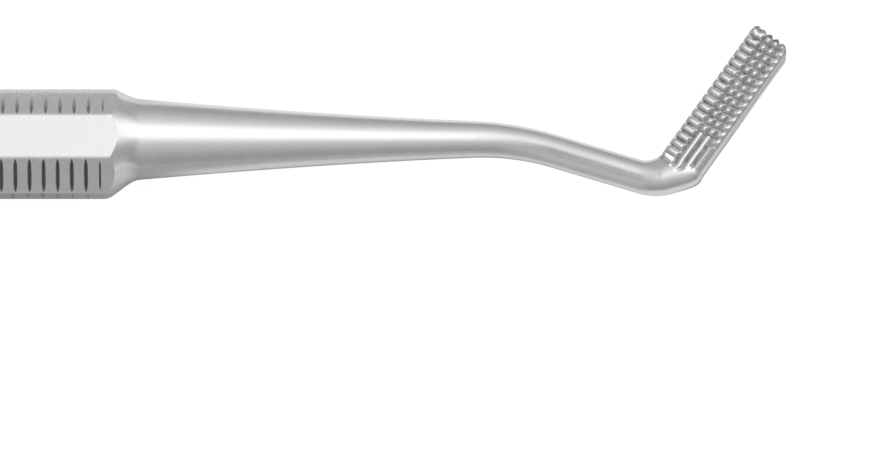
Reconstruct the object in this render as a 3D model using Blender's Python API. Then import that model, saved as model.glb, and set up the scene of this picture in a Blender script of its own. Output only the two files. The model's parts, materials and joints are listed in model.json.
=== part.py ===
"""Orthodontic band pusher, double ended: one piece of stainless steel.

An octagonal handle with small lens-shaped grip cuts on six of its flats runs
through a cone at each end into a tapered round shank. One shank bends twice
and ends in a cross-serrated pusher head. The other ends in a sickle scaler.

The instrument lies flat as it rests on a table: +X towards the pusher head,
+Y towards the side that the head rises to, +Z up. The origin is the centre of
the handle's underside flat. Metres.
"""

import math

import bmesh
import bpy
import numpy as np

MM = 0.001

# Handle: an eight-sided bar
ACROSS_FLATS = 6.35 * MM
HANDLE_LENGTH = 88.0 * MM
CORNER_ROUND = 0.35 * MM
CORNER_STEPS = 2
FLATS = 8

# Grip cuts: each is the short lens that a vee wheel leaves in one flat
CUT_DEPTH = 0.17 * MM
CUT_WIDTH = 0.34 * MM
CUT_END_MARGIN = 0.06 * MM
# Flat number, counted from the top flat towards +Y: pitch, and distance of the
# cut nearest the pusher from the end of the handle
GRIP_CUTS = {
    1: (0.8542 * MM, 0.23 * MM),
    2: (0.9003 * MM, 0.95 * MM),
    3: (0.8542 * MM, 0.75 * MM),
    5: (0.8500 * MM, 0.62 * MM),
    6: (0.9003 * MM, 1.15 * MM),
    7: (0.8437 * MM, 0.48 * MM),
}
# The wheel runs on a little where the scaler's cone is still full
CUTS_PAST_SCALER_SHOULDER = 2.0 * MM

# Turned blank that the handle's flats are milled on, in strokes along its length
BLANK_RADIUS = 3.55 * MM
MILLING_STROKE = 7.0 * MM

# Pusher shank: side and height offsets from the handle's axis, the length that
# the height offset takes up, then the cone and the taper
PUSHER_OFFSET_Y = 0.24 * MM
PUSHER_OFFSET_Z = 0.14 * MM
PUSHER_LIFT_LENGTH = 0.9 * MM
PUSHER_CONE_START = -0.65 * MM
PUSHER_CONE_LENGTH = 2.6 * MM
PUSHER_TAPER_START = 2.57 * MM
PUSHER_TAPER_END = 26.7 * MM
PUSHER_ROOT_DIAMETER = 4.80 * MM
PUSHER_SHANK_DIAMETER = 1.96 * MM
PUSHER_TAPER_POWER = 1.5

# Pusher shank bends: away from +Y, then back up into the head
FIRST_BEND_START = 21.9 * MM
FIRST_BEND_RADIUS = 17.3 * MM
FIRST_BEND_ANGLE = math.radians(16.5)
BETWEEN_BENDS = 5.2 * MM
HEAD_BEND_RADIUS = 2.57 * MM
HEAD_BEND_ANGLE = math.radians(71.0)
HEAD_ANGLE_AT_BASE = math.radians(51.0)
HEAD_BEND_USED = 0.5
HEAD_BASE_PLACE = 0.76
HEAD_SET_OUT = 0.235 * MM
# Between the first bend and the head's foot the shank also climbs a little
PUSHER_RISE = 0.60 * MM
PUSHER_RISE_LENGTH = 12.6 * MM

# Pusher head: a crowned bar with crossed serrations
HEAD_LENGTH = 9.88 * MM
HEAD_WIDTH = 2.77 * MM
HEAD_THICKNESS = 2.00 * MM
HEAD_BASE_WIDTH = 2.72 * MM
HEAD_BEND_WIDTH = 2.30 * MM
HEAD_CROWN_POWER = 2.6
HEAD_EDGE_HEIGHT = 0.36
HEAD_TIP_CHAMFER = 0.75 * MM
HEAD_TIP_ROUND = 0.10 * MM
RIDGES = 5
RIDGE_PITCH = 0.51 * MM
RIDGE_OFFSET = 0.17 * MM
RIDGE_DEPTH = 0.13 * MM
SMOOTH_BAND = 0.27 * MM
TOOTH_ROWS = 17
TOOTH_PITCH = 0.545 * MM
TOOTH_DEPTH = 0.13 * MM
FIRST_TOOTH = 0.75 * MM
TOOTH_SLANT = 0.12
UNCUT_RIDGE_LENGTH = 2.7 * MM

# Scaler shank
SCALER_OFFSET_Y = 0.05 * MM
SCALER_OFFSET_Z = 0.70 * MM
SCALER_LIFT_LENGTH = 3.4 * MM
SCALER_CONE_START = -1.4 * MM
SCALER_CONE_LENGTH = 6.0 * MM
SCALER_TAPER_START = 5.6 * MM
SCALER_TAPER_END = 28.9 * MM
SCALER_ROOT_DIAMETER = 3.91 * MM
SCALER_SHANK_DIAMETER = 1.74 * MM
SCALER_TAPER_POWER = 1.3
NECK_DIAMETER = 1.45 * MM
NECK_START = 31.3 * MM
NECK_PLACE = 33.35 * MM

# Scaler blade: three arcs from the neck to the point
HEEL_RADIUS = 15.2 * MM
HEEL_ANGLE = math.radians(13.0)
BLADE_RADIUS = 3.6 * MM
BLADE_ANGLE = math.radians(63.0)
TOE_RADIUS = 8.6 * MM
TOE_ANGLE = math.radians(22.0)
# Distance back from the point, and the blade's width there
BLADE_WIDTHS = (
    (0.0 * MM, 0.0 * MM),
    (2.5 * MM, 0.83 * MM),
    (4.6 * MM, 1.35 * MM),
    (6.0 * MM, 1.56 * MM),
    (7.4 * MM, 1.63 * MM),
    (9.9 * MM, 1.96 * MM),
)
BLADE_THICKNESS = 0.84 * MM
THICKNESS_TAPER_POWER = 1.8
FLARE_LENGTH = 0.68 * MM
ROUND_RUNS_OUT = 1.45 * MM
BLADE_STEPS = 14
BLADE_BEVEL = 0.27
BEVEL_START = 0.20
BEVEL_FULL = 0.50
PLATE_EDGE_HEIGHT = 0.85
BLADE_EDGE_HEIGHT = 0.18
BLADE_BACK_HEIGHT = 0.50

STEEL_COLOUR = (0.62, 0.62, 0.62, 1.0)

AXIS_HEIGHT = ACROSS_FLATS / 2
HALF_HANDLE = HANDLE_LENGTH / 2
COLUMNS = 2 * RIDGES + 2


def smooth_step(value):
    value = min(max(value, 0.0), 1.0)
    return value * value * (3 - 2 * value)


def clear_scene():
    for old in list(bpy.data.objects):
        bpy.data.objects.remove(old, do_unlink=True)
    parts = bpy.data.collections.new("orthodontic_band_pusher")
    cutters = bpy.data.collections.new("cutters")
    cutters.hide_render = True
    bpy.context.scene.collection.children.link(parts)
    bpy.context.scene.collection.children.link(cutters)
    return parts, cutters


# Ring outlines: half of each runs over the top from side -1 to side +1, the other half back underneath
def close_ring(sides, heights):
    return np.array(
        [(side, height) for side, height in zip(sides, heights)]
        + [(side, -height) for side, height in zip(sides[::-1], heights[::-1])]
    )


def round_outline():
    angles = (np.arange(COLUMNS) + 0.5) * math.pi / COLUMNS
    return close_ring(-np.cos(angles), np.sin(angles))


def head_columns():
    """Places across the head: the plain band's two edges, then ridge, groove, ridge and so on."""
    half = HEAD_WIDTH / 2
    middle = (RIDGES - 1) / 2
    lines = [(RIDGE_OFFSET + (step / 2 - middle) * RIDGE_PITCH) / half for step in range(2 * RIDGES - 1)]
    return np.array([-1.0, -1.0 + SMOOTH_BAND / half] + lines + [1.0])


def head_outline():
    sides = head_columns()
    inside = np.clip(1 - np.abs(sides) ** HEAD_CROWN_POWER, 0, 1)
    heights = np.maximum(inside ** (1 / HEAD_CROWN_POWER), HEAD_EDGE_HEIGHT)
    return close_ring(sides, heights)


def blade_sides():
    """Places across the blade: the hollow edge, the middle and top of its bevel, then over to the back."""
    bevel_top = -1 + 2 * BLADE_BEVEL
    flat = np.linspace(bevel_top, 0.8, COLUMNS - 4)
    return np.concatenate([[-1, (bevel_top - 1) / 2], flat, [0.92, 1]])


def blade_heights(edge_height):
    """Flat sides, a bevel down to the hollow edge and a rounded back."""
    bevel_top = -1 + 2 * BLADE_BEVEL
    places = [-1, bevel_top, 0.8, 0.92, 1]
    return np.interp(blade_sides(), places, [edge_height, 1, 1, 0.8, BLADE_BACK_HEIGHT])


def place_ring(outline, centre, side, half_width, half_height):
    """An outline set across the path: side is the unit vector towards its +1 side."""
    points = np.tile(np.array(centre, float), (len(outline), 1))
    points[:, 0] += side[0] * outline[:, 0] * half_width
    points[:, 1] += side[1] * outline[:, 0] * half_width
    points[:, 2] += outline[:, 1] * half_height
    return points


def inward_normals(points, centre):
    tangents = np.roll(points, -1, axis=0) - np.roll(points, 1, axis=0)
    along = np.cross(points[0] - centre, points[len(points) // 4] - centre)
    inward = np.cross(along, tangents)
    inward /= np.linalg.norm(inward, axis=1, keepdims=True)
    towards = np.sum(inward * (centre - points), axis=1)
    return inward * np.sign(towards)[:, None]


class Path:
    """A centreline of straight runs and arcs in the plane, walked from the handle outwards."""

    def __init__(self, x, y):
        self.runs = []
        self.place = np.array([x, y], float)
        self.heading = 0.0
        self.length = 0.0

    def add(self, length, angle=0.0):
        self.runs.append((self.length, length, angle, self.place.copy(), self.heading))
        self.place, self.heading = self.at(self.length + length)
        self.length += length

    def at(self, distance):
        start, length, angle, place, heading = max(
            (run for run in self.runs if run[0] <= distance + 1e-9), key=lambda run: run[0]
        )
        gone = distance - start
        if not angle:
            return place + gone * np.array([math.cos(heading), math.sin(heading)]), heading
        turned = angle * gone / length
        radius = length / angle
        offset = np.array(
            [
                math.sin(heading + turned) - math.sin(heading),
                math.cos(heading) - math.cos(heading + turned),
            ]
        )
        return place + radius * offset, heading + turned


def shank_radius(distance, cone_start, cone_length, taper_start, taper_end, root, tip, power):
    """The turned blank's radius beyond the handle's end: an S-shaped cone that runs onto the taper."""
    left = max(0.0, (taper_end - distance) / (taper_end - taper_start))
    taper = (tip + (root - tip) * left**power) / 2
    share = 1 - smooth_step((distance - cone_start) / cone_length)
    return taper + (BLANK_RADIUS - taper) * share


def shank_centre(distance, cone_start, cone_length, lift_length, offset_y, offset_z):
    """How far the shank's axis stands to the side of the handle's, and its height."""
    moved = smooth_step((distance - cone_start) / cone_length)
    lifted = smooth_step((distance - cone_start) / lift_length)
    return offset_y * moved, AXIS_HEIGHT + offset_z * lifted


def pusher_radius(distance):
    return shank_radius(
        distance,
        PUSHER_CONE_START,
        PUSHER_CONE_LENGTH,
        PUSHER_TAPER_START,
        PUSHER_TAPER_END,
        PUSHER_ROOT_DIAMETER,
        PUSHER_SHANK_DIAMETER,
        PUSHER_TAPER_POWER,
    )


def scaler_radius(distance):
    radius = shank_radius(
        distance,
        SCALER_CONE_START,
        SCALER_CONE_LENGTH,
        SCALER_TAPER_START,
        SCALER_TAPER_END,
        SCALER_ROOT_DIAMETER,
        SCALER_SHANK_DIAMETER,
        SCALER_TAPER_POWER,
    )
    neck = smooth_step((distance - NECK_START) / (NECK_PLACE - NECK_START))
    return radius + (NECK_DIAMETER / 2 - radius) * neck


def cone_places(cone_start, cone_length, steps=8):
    return [cone_start + cone_length * step / steps for step in range(steps + 1)]


def pusher_path():
    path = Path(HALF_HANDLE, 0)
    path.add(FIRST_BEND_START)
    path.add(FIRST_BEND_RADIUS * FIRST_BEND_ANGLE, -FIRST_BEND_ANGLE)
    path.add(BETWEEN_BENDS)
    path.add(HEAD_BEND_RADIUS * HEAD_BEND_ANGLE, HEAD_BEND_ANGLE)
    return path


def pusher_rise(distance):
    return PUSHER_RISE * smooth_step((distance - FIRST_BEND_START) / PUSHER_RISE_LENGTH)


def pusher_shank_rings(path):
    outline = round_outline()
    cone = cone_places(PUSHER_CONE_START, PUSHER_CONE_LENGTH)
    taper = [cone[-1] + (FIRST_BEND_START - cone[-1]) * step / 6 for step in range(1, 7)]
    bend = [FIRST_BEND_START + FIRST_BEND_RADIUS * FIRST_BEND_ANGLE * step / 4 for step in range(1, 5)]
    rings = []
    for distance in cone + taper + bend:
        (x, y), heading = path.at(max(distance, 0))
        x += min(distance, 0)
        offset_y, height = shank_centre(
            distance,
            PUSHER_CONE_START,
            PUSHER_CONE_LENGTH,
            PUSHER_LIFT_LENGTH,
            PUSHER_OFFSET_Y,
            PUSHER_OFFSET_Z,
        )
        height += pusher_rise(distance)
        radius = pusher_radius(distance)
        side = (-math.sin(heading), math.cos(heading))
        rings.append(place_ring(outline, (x, y + offset_y, height), side, radius, radius))
    return rings


def head_bend_rings(path):
    """The round shank swells and flattens into the head through the second bend."""
    outline_start, outline_end = round_outline(), head_outline()
    bend_length = HEAD_BEND_RADIUS * HEAD_BEND_ANGLE
    bend_start = path.length - bend_length
    rings = []
    steps = 4
    for step in range(steps + 1):
        share = step / steps
        distance = bend_start + bend_length * HEAD_BEND_USED * share
        (x, y), heading = path.at(distance)
        height = AXIS_HEIGHT + PUSHER_OFFSET_Z + pusher_rise(distance)
        outline = outline_start + (outline_end - outline_start) * 0.4 * share
        half_width = (PUSHER_SHANK_DIAMETER + (HEAD_BEND_WIDTH - PUSHER_SHANK_DIAMETER) * share) / 2
        half_height = (PUSHER_SHANK_DIAMETER + (HEAD_THICKNESS - PUSHER_SHANK_DIAMETER) * share) / 2
        side = (-math.sin(heading), math.cos(heading))
        rings.append(place_ring(outline, (x, y + PUSHER_OFFSET_Y, height), side, half_width, half_height))
    return rings


def head_base(path):
    """Centre of the head's foot, set out from the bend's centreline to the head's outer side."""
    (x, y), _ = path.at(path.length - HEAD_BEND_RADIUS * HEAD_BEND_ANGLE * (1 - HEAD_BASE_PLACE))
    heading = HEAD_BEND_ANGLE - FIRST_BEND_ANGLE
    x += HEAD_SET_OUT * math.sin(heading)
    y -= HEAD_SET_OUT * math.cos(heading)
    return np.array([x, y + PUSHER_OFFSET_Y, AXIS_HEIGHT + PUSHER_OFFSET_Z + PUSHER_RISE])


def head_stations():
    """Distances along the head, each with True where a cut's bottom crosses it."""
    stations = []
    for row in range(TOOTH_ROWS):
        crest = FIRST_TOOTH + row * TOOTH_PITCH
        stations.append((crest - TOOTH_PITCH / 2, True))
        stations.append((crest, False))
    return [station for station in stations if station[0] < HEAD_LENGTH - HEAD_TIP_ROUND]


def head_rings(path):
    outline = head_outline()
    columns = head_columns()
    base = head_base(path)
    heading = HEAD_BEND_ANGLE - FIRST_BEND_ANGLE
    along = np.array([math.cos(heading), math.sin(heading), 0])
    side = (-math.sin(heading), math.cos(heading))
    half_width, half_height = HEAD_WIDTH / 2, HEAD_THICKNESS / 2

    # Each side of the ring: which columns are grooves, which are cut across, and where the cuts begin
    groove = np.array([2 < index < COLUMNS - 1 and index % 2 == 1 for index in range(COLUMNS)])
    crossed = np.array([2 <= index < COLUMNS - 1 for index in range(COLUMNS)])
    cut_from = np.where(columns > 0.25, 0.0, UNCUT_RIDGE_LENGTH)
    groove, crossed, cut_from = (np.concatenate([half, half[::-1]]) for half in (groove, crossed, cut_from))

    # The outer corner of the tip is chamfered, so the columns of the plain band end earlier
    across = np.abs(np.minimum(outline[:, 0] + 1 - 2 * SMOOTH_BAND / half_width, 0))
    reach = 1 - across / across.max() * HEAD_TIP_CHAMFER / HEAD_LENGTH

    rings = []
    base_side = (-math.sin(HEAD_ANGLE_AT_BASE), math.cos(HEAD_ANGLE_AT_BASE))
    rings.append(place_ring(outline, base, base_side, HEAD_BASE_WIDTH / 2, half_height))
    for distance, is_cut in head_stations() + [(HEAD_LENGTH, False)]:
        at_tip = distance == HEAD_LENGTH
        shrink = HEAD_TIP_ROUND if at_tip else 0.0
        ring = place_ring(outline, base, side, half_width - shrink, half_height - shrink)
        started = smooth_step(distance / (2 * TOOTH_PITCH))
        depth = np.where(groove, RIDGE_DEPTH * started, 0.0)
        if is_cut:
            depth = np.maximum(depth, np.where(crossed & (distance >= cut_from), TOOTH_DEPTH, 0.0))
        ring += inward_normals(ring, base) * depth[:, None]
        slanted = distance - TOOTH_SLANT * half_width * outline[:, 0] * (0.0 if at_tip else 1.0)
        if at_tip:
            slanted = slanted - np.where(groove, RIDGE_DEPTH, 0.0)
        ring += np.outer(slanted * reach, along)
        rings.append(ring)
    return rings, base + along * HEAD_LENGTH


def scaler_path():
    """Walked outwards in a mirrored frame: x grows away from the handle, towards -X."""
    path = Path(HALF_HANDLE, 0)
    path.add(NECK_PLACE)
    path.add(HEEL_RADIUS * HEEL_ANGLE, -HEEL_ANGLE)
    path.add(BLADE_RADIUS * BLADE_ANGLE, -BLADE_ANGLE)
    path.add(TOE_RADIUS * TOE_ANGLE, -TOE_ANGLE)
    return path


def scaler_ring(path, distance, outline, half_width, half_height):
    (x, y), heading = path.at(max(distance, 0))
    x += min(distance, 0)
    offset_y, height = shank_centre(
        distance,
        SCALER_CONE_START,
        SCALER_CONE_LENGTH,
        SCALER_LIFT_LENGTH,
        SCALER_OFFSET_Y,
        SCALER_OFFSET_Z,
    )
    side = (math.sin(heading), math.cos(heading))
    return place_ring(outline, (-x, y + offset_y, height), side, half_width, half_height)


def blade_ring(path, gone):
    """A section of the blade with the neck's round form running out on its flat sides."""
    blade_length = path.length - NECK_PLACE
    flare = smooth_step(gone / FLARE_LENGTH)
    back_from_point, widths = np.array(BLADE_WIDTHS).T
    width = np.interp(blade_length - gone, back_from_point, widths)
    half_width = (NECK_DIAMETER + (width - NECK_DIAMETER) * flare) / 2
    half_thickness = BLADE_THICKNESS / 2 * (1 - (gone / blade_length) ** THICKNESS_TAPER_POWER)
    bevelled = smooth_step((gone / blade_length - BEVEL_START) / (BEVEL_FULL - BEVEL_START))
    edge_height = PLATE_EDGE_HEIGHT + (BLADE_EDGE_HEIGHT - PLATE_EDGE_HEIGHT) * bevelled
    round_sides = round_outline()[:COLUMNS, 0]
    sides = (round_sides + (blade_sides() - round_sides) * flare) * half_width
    plate = blade_heights(edge_height) * half_thickness
    sunk = min(gone / ROUND_RUNS_OUT, 1.0)
    round_radius = (NECK_DIAMETER + (BLADE_THICKNESS - NECK_DIAMETER) * sunk) / 2
    round_heights = np.sqrt(np.maximum(round_radius**2 - sides**2, 0))
    heights = np.maximum(plate, round_heights * (sunk < 1))
    return scaler_ring(path, NECK_PLACE + gone, close_ring(sides, heights), 1, 1)


def scaler_rings(path):
    round_ring = round_outline()
    cone = cone_places(SCALER_CONE_START, SCALER_CONE_LENGTH)
    taper = [cone[-1] + (NECK_START - cone[-1]) * step / 6 for step in range(1, 7)]
    neck = [NECK_START + (NECK_PLACE - NECK_START) * step / 3 for step in range(1, 4)]
    rings = []
    for distance in cone + taper + neck:
        radius = scaler_radius(distance)
        rings.append(scaler_ring(path, distance, round_ring, radius, radius))
    blade_length = path.length - NECK_PLACE
    run_out = [ROUND_RUNS_OUT * step / 6 for step in range(1, 7)]
    rest = blade_length - ROUND_RUNS_OUT
    plain = [ROUND_RUNS_OUT + rest * step / BLADE_STEPS for step in range(1, BLADE_STEPS)]
    rings.extend(blade_ring(path, gone) for gone in run_out + plain)
    (x, y), _ = path.at(path.length)
    point = np.array([-x, y + SCALER_OFFSET_Y, AXIS_HEIGHT + SCALER_OFFSET_Z])
    return rings, point


def loft(name, first_point, rings, last_point):
    """Skins a closed body over the rings, with a fan to a point at each end."""
    shape = bmesh.new()
    rows = [[shape.verts.new(point) for point in ring] for ring in rings]
    count = len(rows[0])
    for row, following in zip(rows, rows[1:]):
        for index in range(count):
            after = (index + 1) % count
            shape.faces.new((row[index], row[after], following[after], following[index]))
    for row, end in ((rows[0], first_point), (rows[-1], last_point)):
        tip = shape.verts.new(end)
        for index in range(count):
            shape.faces.new((row[index], row[(index + 1) % count], tip))
    bmesh.ops.recalc_face_normals(shape, faces=shape.faces)
    mesh = bpy.data.meshes.new(name)
    shape.to_mesh(mesh)
    shape.free()
    return bpy.data.objects.new(name, mesh)


def octagon_points(half_across):
    """The handle's section, its corners rounded, as (y, height above the axis) pairs."""
    turn = 2 * math.pi / FLATS
    centre_distance = (half_across - CORNER_ROUND) / math.cos(turn / 2)
    points = []
    for corner in range(FLATS):
        middle = (corner + 0.5) * turn
        for step in range(CORNER_STEPS + 1):
            angle = middle + (step / CORNER_STEPS - 0.5) * turn
            points.append(
                (
                    centre_distance * math.sin(middle) + CORNER_ROUND * math.sin(angle),
                    centre_distance * math.cos(middle) + CORNER_ROUND * math.cos(angle),
                )
            )
    return points


def flats_cutter():
    """A tube whose bore is the eight-sided handle: what it covers is milled away."""
    bore = octagon_points(AXIS_HEIGHT)
    skin_radius = 2 * BLANK_RADIUS
    half_length = HALF_HANDLE + max(PUSHER_CONE_LENGTH, SCALER_CONE_LENGTH)
    strokes = max(1, round(2 * half_length / MILLING_STROKE))
    shape = bmesh.new()
    bores, skins = [], []
    for stroke in range(strokes + 1):
        x = half_length * (2 * stroke / strokes - 1)
        bores.append([shape.verts.new((x, y, AXIS_HEIGHT + height)) for y, height in bore])
        if stroke in (0, strokes):
            stretches = [skin_radius / math.hypot(y, height) for y, height in bore]
            skins.append(
                [
                    shape.verts.new((x, y * stretch, AXIS_HEIGHT + height * stretch))
                    for (y, height), stretch in zip(bore, stretches)
                ]
            )
    loops = bores + skins[::-1]
    for first, second in zip(loops, loops[1:] + loops[:1]):
        for index in range(len(bore)):
            after = (index + 1) % len(bore)
            shape.faces.new((first[index], first[after], second[after], second[index]))
    bmesh.ops.recalc_face_normals(shape, faces=shape.faces)
    mesh = bpy.data.meshes.new("flats_cutter")
    shape.to_mesh(mesh)
    shape.free()
    return bpy.data.objects.new("flats_cutter", mesh)


def grip_cutter():
    """Every grip cut as a four-sided point, long across its flat and narrow along the handle."""
    turn = 2 * math.pi / FLATS
    flat_width = ACROSS_FLATS * math.tan(turn / 2) - 2 * CORNER_ROUND * math.tan(turn / 2)
    half_chord = flat_width / 2 - CUT_END_MARGIN
    rise = 0.5 * CUT_DEPTH
    grow = (CUT_DEPTH + rise) / CUT_DEPTH
    shape = bmesh.new()
    for flat, (pitch, first) in GRIP_CUTS.items():
        angle = flat * turn
        outwards = np.array([0, math.sin(angle), math.cos(angle)])
        across = np.array([0, math.cos(angle), -math.sin(angle)])
        x = HALF_HANDLE - first
        while x > -HALF_HANDLE - CUTS_PAST_SCALER_SHOULDER:
            surface = np.array([x, 0, AXIS_HEIGHT]) + outwards * AXIS_HEIGHT
            point = shape.verts.new(surface - outwards * CUT_DEPTH)
            top = surface + outwards * rise
            rim = [
                shape.verts.new(top + np.array([CUT_WIDTH / 2 * grow, 0, 0])),
                shape.verts.new(top + across * half_chord * grow),
                shape.verts.new(top - np.array([CUT_WIDTH / 2 * grow, 0, 0])),
                shape.verts.new(top - across * half_chord * grow),
            ]
            shape.faces.new(rim)
            for index in range(4):
                shape.faces.new((rim[index], rim[(index + 1) % 4], point))
            x -= pitch
    bmesh.ops.recalc_face_normals(shape, faces=shape.faces)
    mesh = bpy.data.meshes.new("grip_cutter")
    shape.to_mesh(mesh)
    shape.free()
    return bpy.data.objects.new("grip_cutter", mesh)


def satin_steel():
    material = bpy.data.materials.new("satin_steel")
    material.use_nodes = True
    shader = material.node_tree.nodes["Principled BSDF"]
    shader.inputs["Base Color"].default_value = STEEL_COLOUR
    shader.inputs["Metallic"].default_value = 1.0
    shader.inputs["Roughness"].default_value = 0.3
    return material


def cut(body, cutter, cutters):
    cutters.objects.link(cutter)
    cutter.hide_render = True
    cutter.display_type = "WIRE"
    modifier = body.modifiers.new(cutter.name, "BOOLEAN")
    modifier.operation = "DIFFERENCE"
    modifier.solver = "EXACT"
    modifier.object = cutter


def build():
    parts, cutters = clear_scene()
    blade, blade_point = scaler_rings(scaler_path())
    path = pusher_path()
    head, head_point = head_rings(path)
    rings = blade[::-1] + pusher_shank_rings(path) + head_bend_rings(path) + head
    body = loft("instrument_body", blade_point, rings, head_point)
    parts.objects.link(body)
    body.data.materials.append(satin_steel())
    cut(body, flats_cutter(), cutters)
    cut(body, grip_cutter(), cutters)
    body.data.shade_smooth()
    body.data.set_sharp_from_angle(angle=math.radians(15))


build()
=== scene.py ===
# %% [markdown]
# A double-ended orthodontic band pusher
#
# The real instrument is one bar of stainless steel. Its middle stays eight-sided
# for the fingers, and both ends are turned down to thin round shanks: one ends
# in a serrated pusher head, the other in a sickle scaler. This lesson makes it in
# the order of the workshop: the turned and forged blank, the serrations of the
# head, the milled flats with their grip cuts, then the steel and the studio.

import json
import math

import bmesh
import bpy
import numpy as np
from mathutils import Matrix

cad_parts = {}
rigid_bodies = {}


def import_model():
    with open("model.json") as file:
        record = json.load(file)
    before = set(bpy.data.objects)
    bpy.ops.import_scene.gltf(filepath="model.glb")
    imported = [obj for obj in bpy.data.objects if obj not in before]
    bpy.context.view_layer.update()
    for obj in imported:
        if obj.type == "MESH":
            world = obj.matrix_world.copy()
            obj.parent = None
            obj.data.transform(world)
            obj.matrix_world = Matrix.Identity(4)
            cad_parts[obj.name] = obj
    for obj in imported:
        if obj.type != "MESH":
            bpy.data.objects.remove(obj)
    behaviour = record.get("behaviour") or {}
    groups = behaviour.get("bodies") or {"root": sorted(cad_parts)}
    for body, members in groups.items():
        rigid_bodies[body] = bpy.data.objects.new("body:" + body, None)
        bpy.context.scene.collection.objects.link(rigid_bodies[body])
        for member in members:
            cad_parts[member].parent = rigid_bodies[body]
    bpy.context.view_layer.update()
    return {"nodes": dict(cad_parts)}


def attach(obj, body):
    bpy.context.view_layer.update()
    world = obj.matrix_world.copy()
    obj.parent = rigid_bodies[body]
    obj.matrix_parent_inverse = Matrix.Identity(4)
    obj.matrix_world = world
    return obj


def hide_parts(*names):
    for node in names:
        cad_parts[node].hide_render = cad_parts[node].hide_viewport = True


for leftover in list(bpy.data.objects):
    bpy.data.objects.remove(leftover, do_unlink=True)
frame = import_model()
print("frame:", sorted(frame["nodes"]))

# %% [markdown]
# Sizes
#
# Every size is a named value in millimetres, as on a drawing. The forms have the
# packed model's sizes, so the finished piece lies where the model does. The cuts,
# the teeth and one worn corner are worked finer here, and a last look at the
# photograph's outline moved a few sizes by up to 0.13 mm.

# %% Sizes of the handle and of the two shanks
MM = 0.001
ACROSS_FLATS = 6.35
HANDLE_LENGTH = 88.0
CORNER_ROUND = 0.36
WORN_CORNER_ROUND = 1.35
AXIS_HEIGHT = ACROSS_FLATS / 2
HALF_HANDLE = HANDLE_LENGTH / 2
BLANK_RADIUS = 3.55

PUSHER = {
    "offset_y": 0.24, "offset_z": 0.14, "lift_length": 0.9,
    "cone_start": -0.65, "cone_length": 2.6, "taper_start": 2.57, "taper_end": 26.7,
    "root": 4.74, "tip": 1.96, "power": 1.5, "join": 5.0,
    "rise_start": 21.9, "rise": 0.6, "sideways": 0.13,
}
SCALER = {
    "offset_y": 0.05, "offset_z": 0.70, "lift_length": 3.4,
    "cone_start": -1.4, "cone_length": 6.0, "taper_start": 5.6, "taper_end": 28.9,
    "root": 3.91, "tip": 1.74, "power": 1.3, "join": 7.0,
    "rise_start": 0.0, "rise": 0.0, "sideways": 0.0,
}
RISE_LENGTH = 12.6
print("handle", ACROSS_FLATS, "mm across flats,", HANDLE_LENGTH, "mm long")

# %% [markdown]
# Two finishes of one steel
#
# The whole instrument is the same stainless steel. Only the bottoms of the cuts
# look different: they stay rough and dull from the wheel while the rest is
# brushed, and their colour is darker with painted shade, more on some flats than
# on others. So there are two materials now, and they are filled in further down.

# %% Empty materials for the steel and for the cuts
steel = bpy.data.materials.new("brushed_steel_body")
cut_steel = bpy.data.materials.new("dull_steel_with_painted_shade_in_cuts")
for material in (steel, cut_steel):
    material.use_nodes = True
print("materials:", steel.name, cut_steel.name)

# %% [markdown]
# Sections and a loft
#
# A turned or forged shank has no separate parts, only a section that changes
# along a centreline. So each end is a stack of rings with the same number of
# points. The first half of each ring runs over the top from side -1 to side +1,
# the second half runs back underneath. A bevelled curve would be quicker, but its
# section can't turn from round into flat on the way.

# %% Outlines of rings
COLUMNS = 64


def smooth_step(value):
    value = np.clip(value, 0.0, 1.0)
    return value * value * (3 - 2 * value)


def both_halves(sides, heights):
    there_and_back = np.concatenate([sides, sides[::-1]])
    return np.column_stack([there_and_back, np.concatenate([heights, -heights[::-1]])])


def round_outline():
    angles = (np.arange(COLUMNS) + 0.5) * math.pi / COLUMNS
    return both_halves(-np.cos(angles), np.sin(angles))


def between_lines(lines, counts):
    """Places across a section that hit every line, with so many steps between neighbours."""
    runs = [np.linspace(a, b, count, endpoint=False) for a, b, count in zip(lines, lines[1:], counts)]
    return np.concatenate(runs + [[lines[-1]]])


def place_ring(outline, centre, heading, half_width=1.0, half_height=1.0):
    side = np.array([-math.sin(heading), math.cos(heading), 0.0])
    across = np.outer(outline[:, 0] * half_width, side)
    return np.array(centre) + across + np.outer(outline[:, 1] * half_height, (0.0, 0.0, 1.0))


print("rings of", 2 * COLUMNS, "points")


# %% A centreline
class Path:
    """A centreline of straight runs and arcs, walked from the handle outwards."""

    def __init__(self):
        self.runs = []
        self.x, self.y, self.heading, self.length = HALF_HANDLE, 0.0, 0.0, 0.0

    def add(self, length, angle=0.0):
        self.runs.append((self.length, length, angle, self.x, self.y, self.heading))
        self.x, self.y, self.heading = self.at(self.length + length)
        self.length += length

    def at(self, distance):
        begun = [run for run in self.runs if run[0] <= max(distance, 0) + 1e-9]
        start, length, angle, x, y, heading = begun[-1]
        gone = distance - start
        if not angle:
            return x + gone * math.cos(heading), y + gone * math.sin(heading), heading
        radius, turned = length / angle, angle * gone / length
        return (
            x + radius * (math.sin(heading + turned) - math.sin(heading)),
            y + radius * (math.cos(heading) - math.cos(heading + turned)),
            heading + turned,
        )


print("a centreline starts at x =", Path().x, "mm")


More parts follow.
